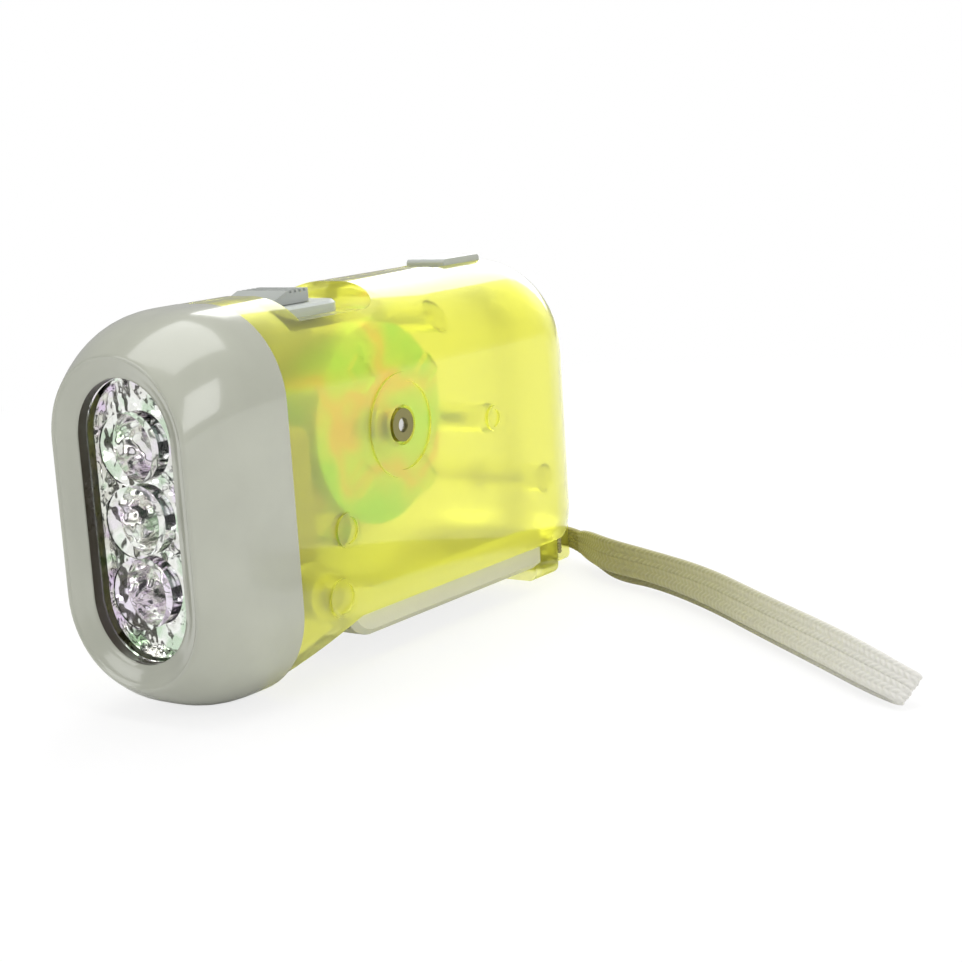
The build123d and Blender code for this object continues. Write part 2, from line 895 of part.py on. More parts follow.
# ---------------------------------------------------------------- lock
lock_end = lock_start + lock_length
lock_top = height + lock_proud
arm_rear = pocket_end - 0.6
arm_front = arm_rear - lock_arm
hook_top = hook_bottom + 1.4
bar_top = height - wall - 1.0
bar_bottom = bar_top - lock_arm
with BuildPart() as lock_slider:
    add(box(lock_half_width, lock_start, lock_end, lock_floor + clearance / 2, lock_top))
    fillet(lock_slider.edges().filter_by(Axis.X).group_by(Axis.Z)[-1], 0.6)
    with BuildSketch(sideways(-lock_arm_width / 2)):
        Polygon(
            *[
                (at(y), z)
                for y, z in [
                    (lock_stem_start, lock_floor + 0.2),
                    (lock_stem_start, bar_bottom),
                    (arm_front - 9.4, bar_bottom),
                    (arm_front, arm_shoulder - 1),
                    (arm_front, hook_top),
                    (arm_rear - lock_arm - hook_reach, hook_top),
                    (arm_rear - lock_arm - hook_reach, hook_bottom),
                    (arm_rear, hook_bottom),
                    (arm_rear, arm_shoulder),
                    (arm_rear - 10.4, bar_top),
                    (lock_stem_start + lock_stem_length, bar_top),
                    (lock_stem_start + lock_stem_length, lock_floor + 0.2),
                ]
            ],
            align=None,
        )
    extrude(amount=lock_arm_width)
save(lock_slider.part, "lock_slider")

# ---------------------------------------------------------------- lever
sector_pitch = drive_module * sector_teeth / 2
sector_root = sector_pitch - dedendum * drive_module
sector_low = drive_angle - 2.2 * 360 / sector_teeth
sector_high = drive_angle + (sector_cut - 1.5) * 360 / sector_teeth
inside_half = lever_half_width - lever_wall


def annular(radius, inner, low, high):
    """Corners of a ring's sector round the pivot, as seen along the shaft."""
    steps = [low + (high - low) * k / 12 for k in range(13)]
    outer_arc = [(radius * cos(radians(a)), radius * sin(radians(a))) for a in steps]
    inner_arc = [(inner * cos(radians(a)), inner * sin(radians(a))) for a in reversed(steps)]
    return outer_arc + inner_arc


with BuildPart() as lever:
    with BuildSketch(sideways(-lever_half_width)):
        with BuildLine():
            front_top = lever_bottom + lever_front_round
            Line((at(lever_start), front_top), (at(pivot_y), pivot_z - lever_hub))
            Line((at(pivot_y), pivot_z - lever_hub), (at(pivot_y), pivot_z + lever_hub))
            Polyline(
                (at(pivot_y), pivot_z + lever_hub),
                (at(lever_start + 6), lever_top),
                (at(lever_end), lever_top),
                (at(lever_end), lever_bottom + 1),
                (at(lever_end - 1), lever_bottom),
                (at(lever_start + lever_front_round), lever_bottom),
            )
            RadiusArc(
                (at(lever_start + lever_front_round), lever_bottom),
                (at(lever_start), front_top),
                lever_front_round,
            )
        make_face()
        with Locations((at(pivot_y), pivot_z)):
            Circle(lever_hub)
    extrude(amount=2 * lever_half_width)
    low_edges = lever.edges().filter_by(Axis.Y).group_by(Axis.Z)[0]
    chamfer(low_edges, 0.9)
    with BuildSketch(rearward(lever_start + lever_wall)):
        with Locations((0, (lever_bottom + lever_wall + 20) / 2)):
            Rectangle(2 * inside_half, 20 - lever_bottom - lever_wall)
    extrude(amount=lever_end - lever_start - 2 * lever_wall, mode=Mode.SUBTRACT)
    # open between the arms ahead of the trough
    with BuildSketch(rearward(pivot_y - lever_hub - 1)):
        with Locations((0, 20)):
            Rectangle(2 * inside_half, 2 * (20 - front_top))
    extrude(amount=lever_start + lever_wall - pivot_y + lever_hub + 1.1, mode=Mode.SUBTRACT)
    add(box(inside_half, pivot_y - lever_hub - 1, lever_start, 0, 20), mode=Mode.SUBTRACT)
    # hubs, from inside the arms to the shells' bosses
    for side in (1, -1):
        inner_face = side * (inside_half - hub_inward)
        outward = side * (body_inner - boss_reach - clearance - inside_half + hub_inward)
        add(disc(inner_face, outward, pivot_y, pivot_z, lever_hub))
    # toothed sector on the left arm
    with BuildSketch(shaft_plane(sector_x, pivot_y, pivot_z)):
        Polygon(*annular(sector_root, sector_root - rim_depth, sector_low, sector_high), align=None)
        with Locations(Location((0, 0, 0), (0, 0, spoke_angle))):
            with Locations(((sector_root - 1) / 2, 0)):
                Rectangle(sector_root - 1, spoke_width)
        for k in range(sector_cut):
            turn = sector_phase + (k - 1) * 360 / sector_teeth
            with Locations(Location((0, 0, 0), (0, 0, turn))):
                add(tooth(drive_module, sector_teeth))
    extrude(amount=sector_thickness)
    add(
        disc(-20, 40, pivot_y, pivot_z, pivot_pin_radius + running_gap),
        mode=Mode.SUBTRACT,
    )
    catch_base = hook_top + 0.3
    catch_end = lever_end + catch_length
    add(box(lock_arm_width / 2, lever_end - 0.5, catch_end, catch_base, catch_base + 1.4))
save(lever.part, "lever")

pin_end = body_inner + blind_depth - clearance
save(disc(-pin_end, 2 * pin_end, pivot_y, pivot_z, pivot_pin_radius), "lever_pin")

# Return spring round the lever's pin: a left-hand coil with one leg down on
# the lever's floor and the other up under the front post
spring_width = spring_turns * spring_pitch
leg_angle = 360 - 360 * (spring_turns % 1)
leg_fall = pivot_z + spring_radius * sin(radians(leg_angle)) - lever_bottom - lever_wall
leg_length = (leg_fall - spring_wire - clearance) / cos(radians(leg_angle))
leg_rise = posts[0][1] - post_radius - clearance - pivot_z
segment_turn = 360 * spring_turns / spring_segments
segment_width = spring_width / spring_segments
with BuildPart() as return_spring:
    for k in range(spring_segments):
        with BuildLine() as wire:
            add(
                Pos(-spring_width / 2 + k * segment_width, at(pivot_y), pivot_z)
                * Rot(-90 - k * segment_turn, 0, 0)
                * Helix(
                    spring_pitch,
                    segment_width,
                    spring_radius,
                    direction=(1, 0, 0),
                    lefthand=True,
                    mode=Mode.PRIVATE,
                )
            )
        with BuildSketch(Plane(origin=wire.line @ 0, z_dir=wire.line % 0)):
            Circle(spring_wire)
        if k == 0:
            extrude(amount=-leg_rise)
            with BuildSketch(Plane(origin=wire.line @ 0, z_dir=wire.line % 0)):
                Circle(spring_wire)
        sweep(path=wire.line, is_frenet=True)
    with BuildSketch(Plane(origin=wire.line @ 1, z_dir=wire.line % 1)):
        Circle(spring_wire)
    extrude(amount=leg_length)
save(return_spring.part, "return_spring")

# ---------------------------------------------------------------- gear train
gear_bore = pin_radius + running_gap
ratchet_inner = pawl_recess - ratchet_depth
with BuildPart() as drive_pinion:
    add(
        gear(
            drive_x,
            drive_thickness,
            drive_y,
            drive_z,
            drive_module,
            drive_teeth,
            drive_phase,
            gear_bore,
        )
    )
    pawl_x = first_x + 0.2
    hub_x = drive_x + drive_thickness
    add(disc(hub_x, pawl_x + pawl_thickness - hub_x, drive_y, drive_z, pawl_hub, gear_bore))
    with BuildSketch(shaft_plane(pawl_x, drive_y, drive_z)):
        with PolarLocations(0, 2):
            Polygon(
                *[
                    (-1.0, 2.0),
                    (1.5, 2.2),
                    (ratchet_inner * 0.68, 4.0),
                    (ratchet_inner * 0.8, 3.4),
                    (ratchet_inner * 0.72, 4.9),
                    (ratchet_inner * 0.56, 4.9),
                    (0.8, 3.2),
                    (-1.0, 2.8),
                ],
                align=None,
            )
    extrude(amount=pawl_thickness)
save(drive_pinion.part, "drive_pinion")

with BuildPart() as first_gear:
    add(
        gear(
            first_x,
            gear_thickness,
            drive_y,
            drive_z,
            train_module,
            first_teeth,
            second_angle,
            gear_bore,
        )
    )
    ratchet = []
    for k in range(ratchet_teeth):
        turn = 2 * pi * k / ratchet_teeth
        step = 2 * pi / ratchet_teeth
        ratchet.append((ratchet_inner * cos(turn), ratchet_inner * sin(turn)))
        ratchet.append((pawl_recess * cos(turn + 0.9 * step), pawl_recess * sin(turn + 0.9 * step)))
    with BuildSketch(shaft_plane(first_x, drive_y, drive_z)):
        Polygon(*ratchet, align=None)
    extrude(amount=gear_thickness / 2, mode=Mode.SUBTRACT)
save(first_gear.part, "first_gear")

with BuildPart() as second_gear:
    pinion_start = first_x - 0.2
    add(
        gear(
            pinion_start,
            second_x - pinion_start,
            second_y,
            second_z,
            train_module,
            second_pinion_teeth,
            second_phase,
            gear_bore,
        )
    )
    add(
        gear(
            second_x,
            gear_thickness,
            second_y,
            second_z,
            rotor_module,
            second_teeth,
            rotor_angle,
            gear_bore,
        )
    )
save(second_gear.part, "second_gear")

sleeve_start = plate_left - 0.6
with BuildPart() as rotor_pinion:
    add(
        gear(
            rotor_pinion_x,
            sleeve_start - rotor_pinion_x,
            drive_y,
            drive_z,
            rotor_module,
            rotor_teeth,
            rotor_phase,
            gear_bore,
        )
    )
save(rotor_pinion.part, "rotor_pinion")

axle_end = body_half_width - pin_recess + 0.4
save(disc(-axle_end, 2 * axle_end, drive_y, drive_z, pin_radius), "first_axle")
second_axle_end = mid_plate_thickness / 2
save(disc(-pin_end, pin_end + second_axle_end, second_y, second_z, pin_radius), "second_axle")

# ---------------------------------------------------------------- dynamo
pole_inner_x = mid_plate_thickness / 2
bobbin_x = pole_inner_x + pole_thickness
bobbin_width = 2 * bobbin_flange + coil_width
pole_outer_x = bobbin_x + bobbin_width
bush_end = body_half_width + 0.1
bush_start = body_inner - boss_reach
for name, side in (("bush_right", 1), ("bush_left", -1)):
    bush_length = side * (bush_end - bush_start)
    bush = disc(side * bush_start, bush_length, drive_y, drive_z, bush_radius, gear_bore)
    save(bush, name)

with BuildPart() as mid_plate:
    with BuildSketch(sideways(plate_left)):
        with Locations(*[(at(y), z) for y, z in posts + [(second_y, second_z)]]):
            Circle(ear_radius)
        make_hull()
        with Locations(*[(at(y), z) for y, z in posts]):
            Circle(screw_radius + clearance, mode=Mode.SUBTRACT)
        with Locations((at(second_y), second_z)):
            Circle(gear_bore, mode=Mode.SUBTRACT)
        with Locations((at(drive_y), drive_z)):
            Circle(shaft_hole, mode=Mode.SUBTRACT)
    extrude(amount=mid_plate_thickness)
save(mid_plate.part, "mid_plate")


def pole_plate(x, finger_x, turn):
    """A steel plate with fingers that reach over the coil."""
    with BuildPart(mode=Mode.PRIVATE) as plate:
        add(disc(x, pole_thickness, drive_y, drive_z, pole_radius, shaft_hole))
        with BuildSketch(shaft_plane(finger_x, drive_y, drive_z)):
            Circle(pole_radius)
            Circle(pole_radius - pole_thickness, mode=Mode.SUBTRACT)
            with PolarLocations(pole_radius, finger_count, start_angle=turn):
                Rectangle(4, finger_width, mode=Mode.INTERSECT)
        extrude(amount=bobbin_width - finger_gap)
    return plate.part


finger_width = 2 * pole_radius * sin(radians(finger_angle / 2))
save(pole_plate(pole_inner_x, bobbin_x, 0), "pole_plate_inner")
save(
    pole_plate(pole_outer_x, bobbin_x + finger_gap, 180 / finger_count),
    "pole_plate_outer",
)

bobbin_radius = pole_radius - pole_thickness - clearance
with BuildPart() as bobbin:
    add(disc(bobbin_x, bobbin_flange, drive_y, drive_z, bobbin_radius, shaft_hole))
    add(disc(bobbin_x, bobbin_width, drive_y, drive_z, bobbin_tube, shaft_hole))
    far_flange = bobbin_x + bobbin_width - bobbin_flange
    add(disc(far_flange, bobbin_flange, drive_y, drive_z, bobbin_radius, shaft_hole))
save(bobbin.part, "bobbin")
save(
    disc(
        bobbin_x + bobbin_flange,
        coil_width,
        drive_y,
        drive_z,
        coil_radius,
        bobbin_tube + running_gap,
    ),
    "coil",
)

magnet_inner = pole_radius + air_gap
magnet_end = flywheel_face - flywheel_web
sleeve_length = magnet_end - sleeve_start
sleeve = disc(sleeve_start, sleeve_length, drive_y, drive_z, sleeve_radius, gear_bore)
save(sleeve, "rotor_sleeve")
magnet = disc(
    magnet_start,
    magnet_end - magnet_start,
    drive_y,
    drive_z,
    magnet_radius,
    magnet_inner,
)
save(magnet, "ring_magnet")

with BuildPart() as flywheel:
    add(disc(magnet_end, flywheel_web, drive_y, drive_z, flywheel_radius, gear_bore))
    with BuildSketch(shaft_plane(magnet_start, drive_y, drive_z)):
        Circle(flywheel_radius)
        Circle(magnet_radius + running_gap, mode=Mode.SUBTRACT)
    extrude(amount=magnet_end - magnet_start)
    hub_start = pole_outer_x + pole_thickness + 0.3
    hub_bore = sleeve_radius + running_gap
    add(disc(hub_start, magnet_end - hub_start, drive_y, drive_z, flywheel_hub, hub_bore))
save(flywheel.part, "flywheel")

# ---------------------------------------------------------------- fasteners
with BuildPart() as shell_screws:
    for y, z in posts + [rear_post]:
        seat = -screw_seat(z)
        add(disc(seat, -screw_head_thickness, y, z, screw_head_radius))
        add(disc(seat, screw_end - 1 - seat, y, z, screw_radius - running_gap))
    for y, z in posts + [rear_post]:
        depth = screw_head_thickness / 2
        slot_x = -screw_seat(z) - screw_head_thickness
        with BuildSketch(sideways(slot_x)):
            with Locations((at(y), z)):
                Rectangle(2.4, 0.5)
                Rectangle(0.5, 2.4)
        extrude(amount=depth, mode=Mode.SUBTRACT)
save(shell_screws.part, "shell_screws")

# Leads from the coil to the rear contact of the cells
lead_x = (pole_inner_x + pole_thickness + magnet_start) / 2 - 0.7
lead_end = cells_end + contact_thickness + running_gap
lead_start = drive_y - ((pole_radius + clearance) ** 2 - lead_spread**2) ** 0.5
with BuildPart() as coil_leads:
    for z in (drive_z + lead_spread, drive_z - lead_spread):
        with BuildLine() as route:
            FilletPolyline(
                (lead_x, at(lead_start), z),
                (lead_x, at(lead_start - 4), z - 0.5),
                (lead_x, at(lead_end + 1), mid_z + (z - drive_z) * 0.9),
                (lead_x, at(lead_end), mid_z + (z - drive_z) * 0.9),
                radius=0.8,
            )
        with BuildSketch(Plane(origin=route.line @ 0, z_dir=route.line % 0)):
            Circle(lead_radius)
        sweep(path=route.line)
save(coil_leads.part, "coil_leads")

# ---------------------------------------------------------------- strap
eye_half = lug_half_width + strap_eye_gap
eye_start = slot_start + slot_length - strap_eye_gap
eye_end = lug_end + strap_eye_gap
eye_middle = (lug_base + lug_top) / 2
with BuildPart() as wrist_strap:
    with BuildSketch(Plane.XY.offset(eye_middle - strap_narrow / 2)):
        with Locations((0, at((eye_start + eye_end) / 2))):
            RectangleRounded(
                2 * (eye_half + strap_thickness),
                eye_end - eye_start + 2 * strap_thickness,
                strap_thickness,
            )
            Rectangle(2 * eye_half, eye_end - eye_start, mode=Mode.SUBTRACT)
    extrude(amount=strap_narrow)
    # the two tails come together
    with BuildSketch(Plane(origin=(eye_half + 0.1, 0, 0), x_dir=(0, 1, 0), z_dir=(1, 0, 0))):
        with Locations((at((eye_start + eye_end) / 2), eye_middle)):
            Rectangle(eye_end - eye_start + strap_thickness, strap_narrow)
    for k, (x, length, top, lean) in enumerate(band_stations):
        ahead = band_stations[min(k + 1, len(band_stations) - 1)]
        behind = band_stations[max(k - 1, 0)]
        turn = atan2(behind[1] - ahead[1], ahead[0] - behind[0])
        plane = Plane(
            origin=(x, at(length), 0),
            x_dir=(sin(turn), cos(turn), 0),
            z_dir=(cos(turn), -sin(turn), 0),
        )
        with BuildSketch(plane):
            corners = [(0, 0), (band_depth, 0), (lean + band_depth, top), (lean, top)]
            Polygon(*corners, align=None)
    loft(ruled=True)
save(wrist_strap.part, "wrist_strap")
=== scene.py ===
"""Looks of the squeeze-lever dynamo torch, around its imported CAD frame.

Metres. +Z is up, the beam points along -Y and X is the width. Lengths along the
torch are measured rearwards from the window's edge, in millimetres, and spot()
turns them into the frame's own coordinates.
"""

import math

import bmesh
import bpy
from mathutils import Matrix, Vector


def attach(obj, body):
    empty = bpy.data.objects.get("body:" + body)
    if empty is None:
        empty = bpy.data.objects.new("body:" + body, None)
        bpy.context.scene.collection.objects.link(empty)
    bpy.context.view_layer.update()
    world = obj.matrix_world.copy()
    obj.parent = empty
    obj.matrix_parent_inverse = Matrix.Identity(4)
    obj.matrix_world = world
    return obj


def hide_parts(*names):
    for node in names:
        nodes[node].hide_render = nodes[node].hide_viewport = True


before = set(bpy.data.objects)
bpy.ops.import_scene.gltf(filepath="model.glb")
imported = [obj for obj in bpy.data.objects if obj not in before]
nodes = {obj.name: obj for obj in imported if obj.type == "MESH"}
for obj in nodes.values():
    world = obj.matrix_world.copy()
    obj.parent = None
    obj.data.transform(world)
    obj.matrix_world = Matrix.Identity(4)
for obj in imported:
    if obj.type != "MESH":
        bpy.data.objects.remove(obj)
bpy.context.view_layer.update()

MM = 0.001
WINDOW_EDGE = -48.55  # y of the window's edge
MID_Z = 27.0


def spot(x, length, z):
    """A place given in millimetres, with its length along the torch."""
    return Vector((x, WINDOW_EDGE + length, z)) * MM


# ---------------------------------------------------------------- materials
class Finish:
    """A node material with a Principled shader and short ways to build on it."""

    def __init__(self, name, **sockets):
        self.material = bpy.data.materials.new(name)
        self.material.use_nodes = True
        self.tree = self.material.node_tree
        self.shader = self.tree.nodes["Principled BSDF"]
        self.output = self.tree.nodes["Material Output"]
        for socket, value in sockets.items():
            self.shader.inputs[socket.replace("_", " ")].default_value = value

    def node(self, kind, settings=None, **inputs):
        """A node of that kind; inputs are values, or sockets to link from."""
        made = self.tree.nodes.new(kind)
        for key, value in (settings or {}).items():
            setattr(made, key, value)
        for key, value in inputs.items():
            socket = made.inputs[int(key[1:]) if key[1:].isdigit() else key.replace("_", " ")]
            if isinstance(value, bpy.types.NodeSocket):
                self.tree.links.new(value, socket)
            else:
                socket.default_value = value
        return made

    def link(self, socket, name):
        """Feed one of the shader's inputs."""
        self.tree.links.new(socket, self.shader.inputs[name])

    def noise(self, scale, detail=4.0, roughness=0.5, stretch=(1, 1, 1)):
        """Noise in the part's own space, per metre."""
        place = self.node("ShaderNodeTexCoord").outputs["Object"]
        mapping = self.node("ShaderNodeMapping", Vector=place, Scale=stretch)
        return self.node(
            "ShaderNodeTexNoise",
            Vector=mapping.outputs["Vector"],
            Scale=scale,
            Detail=detail,
            Roughness=roughness,
        ).outputs["Fac"]

    def ramp(self, factor, stops):
        """Colours along a factor."""
        made = self.node("ShaderNodeValToRGB", Fac=factor)
        band = made.color_ramp
        while len(band.elements) < len(stops):
            band.elements.new(0.5)
        for element, (position, colour) in zip(band.elements, stops):
            element.position = position
            element.color = (*colour, 1)
        return made.outputs["Color"]

    def remap(self, factor, low, high):
        """Spread a factor of 0.3 to 0.7 over low to high."""
        return self.node(
            "ShaderNodeMapRange",
            Value=factor,
            **{"From_Min": 0.3, "From_Max": 0.7, "To_Min": low, "To_Max": high},
        ).outputs["Result"]

    def bump(self, height, strength, distance):
        """Bump from a height."""
        made = self.node(
            "ShaderNodeBump", Height=height, Strength=strength, Distance=distance
        )
        self.link(made.outputs["Normal"], "Normal")


def plastic(name, colour, rough, grain=0.06, coat=0.0, tint=0.04):
    """Moulded plastic: slight mottling, satin gloss and a fine moulded skin."""
    finish = Finish(name, Coat_Weight=coat, Coat_Roughness=0.05, IOR=1.49)
    patches = finish.noise(90, detail=5)
    low = [c * (1 - tint) for c in colour]
    high = [min(1, c * (1 + tint)) for c in colour]
    finish.link(finish.ramp(patches, [(0.35, low), (0.65, high)]), "Base Color")
    finish.link(finish.remap(patches, rough * 0.85, rough * 1.15), "Roughness")
    finish.bump(finish.noise(2600, detail=3), grain, 0.0001)
    return finish


def metal(name, colour, rough, brushed=(1, 1, 1), tint=0.08):
    """Metal with fine streaks in its gloss and colour."""
    finish = Finish(name, Metallic=1.0)
    streaks = finish.noise(900, detail=6, roughness=0.6, stretch=brushed)
    low = [c * (1 - tint) for c in colour]
    finish.link(finish.ramp(streaks, [(0.3, low), (0.7, colour)]), "Base Color")
    finish.link(finish.remap(streaks, rough * 0.7, rough * 1.3), "Roughness")
    finish.bump(streaks, 0.08, 0.0001)
    return finish


head_grey = plastic("head_grey", (0.40, 0.41, 0.345), 0.17, grain=0.03, coat=0.35)
lever_grey = plastic("lever_grey", (0.56, 0.56, 0.47), 0.34, grain=0.12)
switch_grey = plastic("switch_grey", (0.36, 0.38, 0.36), 0.38, grain=0.15)
plate_grey = plastic("plate_grey", (0.46, 0.49, 0.47), 0.34, grain=0.12)
# painted shade: a near-black brown for the window's wall, standing for the shadowed gap round the
# lens
painted_shade_brown = plastic("painted_shade_brown", (0.05, 0.042, 0.028), 0.3)
dark_plastic = plastic("dark_plastic", (0.22, 0.21, 0.15), 0.45)
gear_plastic = plastic("gear_plastic", (0.86, 0.86, 0.80), 0.4)
board_green = plastic("board_green", (0.03, 0.16, 0.06), 0.3, coat=0.4)
steel = metal("steel", (0.62, 0.62, 0.60), 0.22, brushed=(0.1, 1, 1))
spring_steel = metal("spring_steel", (0.40, 0.40, 0.40), 0.3)
brass = metal("brass", (0.62, 0.42, 0.16), 0.3)
copper = metal("copper", (0.60, 0.22, 0.09), 0.32, brushed=(6, 1, 1), tint=0.4)
magnet_black = plastic("magnet_black", (0.05, 0.05, 0.05), 0.6, grain=0.3)
cell_steel = metal("cell_steel", (0.66, 0.66, 0.64), 0.18)
bush_bronze = metal("bush_bronze", (0.26, 0.24, 0.10), 0.36)

# painted light and shade on the lock: its colour goes by height, pale yellow deep in the body and
# grey at the knob on top
lock_grey_painted_light = Finish("lock_grey_painted_light", Roughness=0.36)
lock_place = lock_grey_painted_light.node("ShaderNodeTexCoord").outputs["Object"]
lock_height = lock_grey_painted_light.node("ShaderNodeSeparateXYZ", Vector=lock_place).outputs["Z"]
lock_painted_light_share = lock_grey_painted_light.node(
    "ShaderNodeMapRange",
    Value=lock_height,
    **{"From_Min": 0.040, "From_Max": 0.053, "To_Min": 0.0, "To_Max": 1.0},
).outputs["Result"]
lock_grey_painted_light.link(
    lock_grey_painted_light.ramp(lock_painted_light_share, [(0.2, (0.74, 0.73, 0.52)), (0.9, (0.44, 0.46, 0.44))]),
    "Base Color",
)
lock_grey_painted_light.bump(lock_grey_painted_light.noise(2600, detail=3), 0.12, 0.0001)


def passivated(name, scale):
    """Zinc plate whose passivation film shifts from green to pink."""
    finish = Finish(name, Metallic=0.6)
    drift = finish.noise(scale, detail=2, roughness=0.4)
    colours = [
        (0.42, (0.26, 0.70, 0.18)),
        (0.49, (0.56, 0.70, 0.34)),
        (0.53, (0.86, 0.44, 0.40)),
        (0.57, (0.56, 0.70, 0.34)),
        (0.66, (0.34, 0.72, 0.22)),
    ]
    finish.link(finish.ramp(drift, colours), "Base Color")
    finish.link(finish.remap(finish.noise(700), 0.24, 0.4), "Roughness")
    finish.bump(finish.noise(1500), 0.1, 0.0001)
    return finish


plated_steel = passivated("plated_steel", 75)


def clear(name, colour, rough, wavy=0.0, ior=1.49, solid=0.0, coat=0.0):
    """Clear plastic. Each face tints by the root, so a wall has this colour.

    A share of solid body colour stands for haze in the plastic, and lamps reach
    what lies inside without a hard shadow.
    """
    finish = Finish(
        name,
        Base_Color=(*colour, 1),
        Roughness=rough,
        IOR=ior,
        Transmission_Weight=1.0 - solid,
        Coat_Weight=coat,
        Coat_Roughness=0.04,
    )
    if wavy:
        finish.bump(finish.noise(160, detail=2), wavy, 0.0004)
    rays = finish.node("ShaderNodeLightPath")
    tint = [c**0.5 for c in colour]
    pass_through = finish.node("ShaderNodeBsdfTransparent", Color=(*tint, 1))
    mixed = finish.node(
        "ShaderNodeMixShader",
        _0=rays.outputs["Is Shadow Ray"],
        _1=finish.shader.outputs["BSDF"],
        _2=pass_through.outputs["BSDF"],
    )
    finish.tree.links.new(mixed.outputs["Shader"], finish.output.inputs["Surface"])
    return finish


yellow = clear("yellow", (0.90, 0.90, 0.26), 0.32, wavy=0.2, ior=1.14, solid=0.12, coat=1.0)
lens_clear = clear("lens_clear", (0.97, 0.98, 0.98), 0.03, wavy=0.05, ior=1.17)
lamp_clear = clear("lamp_clear", (0.95, 0.96, 0.97), 0.05)

mirror = Finish("mirror", Metallic=1.0)
shards = mirror.noise(230, detail=2, roughness=0.5)
mirror.link(
    mirror.ramp(
        shards,
        [
            (0.36, (0.62, 0.74, 0.58)),
            (0.44, (0.94, 0.94, 0.90)),
            (0.52, (0.80, 0.79, 0.74)),
            (0.62, (0.88, 0.80, 0.90)),
        ],
    ),
    "Base Color",
)
mirror.link(mirror.remap(mirror.noise(1200), 0.05, 0.2), "Roughness")
mirror.bump(mirror.noise(300, detail=2, roughness=0.5), 0.9, 0.0016)

braid = Finish("braid", Roughness=0.7, Sheen_Weight=0.4, Sheen_Roughness=0.5)
yarn = braid.noise(2400, detail=4, stretch=(1, 1, 2))
# painted shade with a yellow cast: the band is painted dark olive near the lug and fades to grey
# further out along x; the noise on top is the yarn
where = braid.node("ShaderNodeTexCoord").outputs["Object"]
sideways = braid.node("ShaderNodeSeparateXYZ", Vector=where).outputs["X"]
painted_shade_outwards = braid.node(
    "ShaderNodeMapRange",
    Value=sideways,
    **{"From_Min": 0.008, "From_Max": 0.088, "To_Min": 0.0, "To_Max": 0.85},
).outputs["Result"]
yarn_and_painted_shade = braid.node(
    "ShaderNodeMath", {"operation": "MULTIPLY_ADD"}, _0=yarn, _1=0.3, _2=painted_shade_outwards
).outputs["Value"]
braid.link(
    braid.ramp(
        yarn_and_painted_shade,
        [
            (0.1, (0.34, 0.31, 0.13)),
            (0.55, (0.42, 0.40, 0.26)),
            (0.95, (0.62, 0.61, 0.57)),
        ],
    ),
    "Base Color",
)
braid.bump(yarn, 0.5, 0.0001)

NODE_FINISHES = {
    "shell_right": yellow,
    "shell_left": yellow,
    "head_bezel": head_grey,
    "front_lens": lens_clear,
    "reflector": mirror,
    "led_top": lamp_clear,
    "led_middle": lamp_clear,
    "led_bottom": lamp_clear,
    "led_board": board_green,
    "cell_holder": dark_plastic,
    "contact_front": steel,
    "contact_rear": steel,
    "cell_front": cell_steel,
    "cell_rear": cell_steel,
    "switch_plate": plate_grey,
    "switch_button": switch_grey,
    "slide_switch": dark_plastic,
    "lock_slider": lock_grey_painted_light,
    "lever": lever_grey,
    "lever_pin": steel,
    "return_spring": spring_steel,
    "drive_pinion": gear_plastic,
    "first_gear": gear_plastic,
    "second_gear": gear_plastic,
    "rotor_pinion": brass,
    "first_axle": steel,
    "second_axle": steel,
    "rotor_sleeve": steel,
    "bush_right": bush_bronze,
    "bush_left": bush_bronze,
    "mid_plate": plated_steel,
    "pole_plate_inner": plated_steel,
    "pole_plate_outer": plated_steel,
    "bobbin": dark_plastic,
    "coil": copper,
    "ring_magnet": magnet_black,
    "flywheel": plated_steel,
    "shell_screws": steel,
    "coil_leads": copper,
    "wrist_strap": braid,
}
for name, finish in NODE_FINISHES.items():
    nodes[name].data.materials.clear()
    nodes[name].data.materials.append(finish.material)


# ---------------------------------------------------------------- meshes
def new_piece(name, verts, faces, finish, body, sharp=35.0):
    """A mesh object with smooth faces and sharp edges where they fold."""
    mesh = bpy.data.meshes.new(name)
    mesh.from_pydata([tuple(v) for v in verts], [], faces)
    mesh.validate()
    work = bmesh.new()
    work.from_mesh(mesh)
    bmesh.ops.recalc_face_normals(work, faces=work.faces)
    for face in work.faces:
        face.smooth = True
    for edge in work.edges:
        edge.smooth = len(edge.link_faces) == 2 and edge.calc_face_angle() < math.radians(sharp)
    work.to_mesh(mesh)
    work.free()
    piece = bpy.data.objects.new(name, mesh)
    bpy.context.scene.collection.objects.link(piece)
    mesh.materials.append(finish.material)
    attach(piece, body)
    return piece


def ring_points(length, half_width, half_height, corner, arc=16, side=6):
    """Points round a rounded rectangle across the torch."""
    points = []
    corner = min(corner, half_width)
    for quarter in range(4):
        turn = quarter * math.pi / 2
        cx = (half_width - corner) * (1, -1, -1, 1)[quarter]
        cz = (half_height - corner) * (1, 1, -1, -1)[quarter]
        for k in range(arc + 1):
            angle = turn + k / arc * math.pi / 2
            points.append((cx + corner * math.cos(angle), cz + corner * math.sin(angle)))
        nx = (half_width - corner) * (1, -1, -1, 1)[(quarter + 1) % 4]
        nz = (half_height - corner) * (1, 1, -1, -1)[(quarter + 1) % 4]
        angle = turn + math.pi / 2
        start = (cx + corner * math.cos(angle), cz + corner * math.sin(angle))
        end = (nx + corner * math.cos(angle), nz + corner * math.sin(angle))
        for k in range(1, side):
            t = k / side
            points.append((start[0] + (end[0] - start[0]) * t, start[1] + (end[1] - start[1]) * t))
    return [spot(x, length, MID_Z + z) for x, z in points]


def ring_shell(name, rings, finish, body):
    """A closed band of rings, each joined to the next and the last to the first."""
    count = len(rings[0])
    verts = [point for ring in rings for point in ring]
    faces = []
    for r in range(len(rings)):
        s = (r + 1) % len(rings)
        for k in range(count):
            n = (k + 1) % count
            faces.append((r * count + k, r * count + n, s * count + n, s * count + k))
    return new_piece(name, verts, faces, finish, body)


